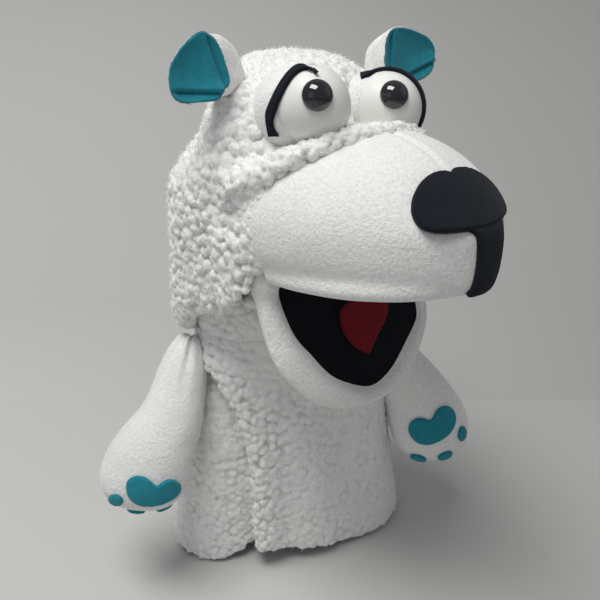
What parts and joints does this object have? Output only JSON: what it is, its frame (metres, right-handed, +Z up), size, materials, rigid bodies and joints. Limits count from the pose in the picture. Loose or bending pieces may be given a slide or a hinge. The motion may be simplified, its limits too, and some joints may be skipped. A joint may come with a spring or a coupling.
{
  "type": "hand puppet",
  "caption": "Polar bear hand puppet with a moving mouth, a turning and nodding head, swinging stuffed arms and an open cloth sleeve.",
  "frame": {"origin": "centre of the sleeve's hem, on the floor, at the mouth that the hand goes in by", "axes": "+Z up along the sleeve to the head, -Y the way the body faces, +X the puppet's left"},
  "size_m": [0.2684, 0.2119, 0.3648],
  "materials": {
    "sherpa": "curly pile",
    "fleece": "short smooth pile",
    "neck_cloth": "plain soft cloth",
    "foam": "open foam",
    "mouth_lining": "smooth felt",
    "black_felt": "matte felt",
    "tongue_felt": "smooth felt",
    "turquoise_felt": "matte felt",
    "strap_webbing": "woven band",
    "mouth_board": "thin stiff board",
    "eye_plastic": "satin",
    "pupil_plastic": "polished",
    "washer_plastic": "plain"
  },
  "bodies": {
    "sleeve": {"sleeve_front": "sherpa", "sleeve_back": "sherpa", "neck_cloth": "neck_cloth"},
    "neck": {"neck_ring": "foam"},
    "head": {"head_foam": "foam", "head_cover": "sherpa", "muzzle_foam": "foam", "muzzle_cover": "fleece", "upper_plate": "mouth_board", "upper_lining": "mouth_lining", "finger_strap": "strap_webbing", "mouth_hinge": "mouth_lining", "nose": "black_felt", "nose_strap": "black_felt", "eye_mound_right": "fleece", "eyeball_right": "eye_plastic", "pupil_right": "pupil_plastic", "pupil_washer_right": "washer_plastic", "eye_rim_right": "black_felt", "ear_right": "fleece", "ear_lining_right": "turquoise_felt", "eye_mound_left": "fleece", "eyeball_left": "eye_plastic", "pupil_left": "pupil_plastic", "pupil_washer_left": "washer_plastic", "eye_rim_left": "black_felt", "ear_left": "fleece", "ear_lining_left": "turquoise_felt"},
    "jaw": {"lower_plate": "mouth_board", "lower_lining": "mouth_lining", "tongue": "tongue_felt", "thumb_strap": "strap_webbing", "jaw_foam": "foam", "jaw_cover": "fleece"},
    "shoulder_right": {"shoulder_right": "fleece"},
    "arm_right": {"arm_cover_right": "fleece", "arm_filling_right": "foam", "paw_pad_right": "turquoise_felt", "toe_pads_right": "turquoise_felt"},
    "shoulder_left": {"shoulder_left": "fleece"},
    "arm_left": {"arm_cover_left": "fleece", "arm_filling_left": "foam", "paw_pad_left": "turquoise_felt", "toe_pads_left": "turquoise_felt"}
  },
  "joints": [
    {"name": "head_turn", "type": "hinge", "parent": "sleeve", "child": "neck", "pos_m": [0, 0, 0.18], "axis": [0, 0, 1], "range_deg": [-52, 16], "deforming": ["neck_cloth"]},
    {"name": "head_nod", "type": "hinge", "parent": "neck", "child": "head", "pos_m": [0, 0, 0.18], "axis": [0.9511, 0.309, 0], "range_deg": [-14, 12], "deforming": ["neck_cloth"]},
    {"name": "jaw_open", "type": "hinge", "parent": "head", "child": "jaw", "pos_m": [0.02126, -0.05396, 0.239], "axis": [0.9304, 0.3665, 0], "range_deg": [-69, 3]},
    {"name": "arm_right_swing", "type": "hinge", "parent": "sleeve", "child": "shoulder_right", "pos_m": [-0.0771, -0.004, 0.15226], "axis": [-0.9861, 0, 0.1664], "range_deg": [-25, 55]},
    {"name": "arm_right_lift", "type": "hinge", "parent": "shoulder_right", "child": "arm_right", "pos_m": [-0.0771, -0.004, 0.15226], "axis": [0, 1, 0], "range_deg": [0, 50]},
    {"name": "arm_left_swing", "type": "hinge", "parent": "sleeve", "child": "shoulder_left", "pos_m": [0.0771, -0.004, 0.15226], "axis": [-0.9861, 0, -0.1664], "range_deg": [-25, 55]},
    {"name": "arm_left_lift", "type": "hinge", "parent": "shoulder_left", "child": "arm_left", "pos_m": [0.0771, -0.004, 0.15226], "axis": [0, -1, 0], "range_deg": [0, 50]}
  ]
}
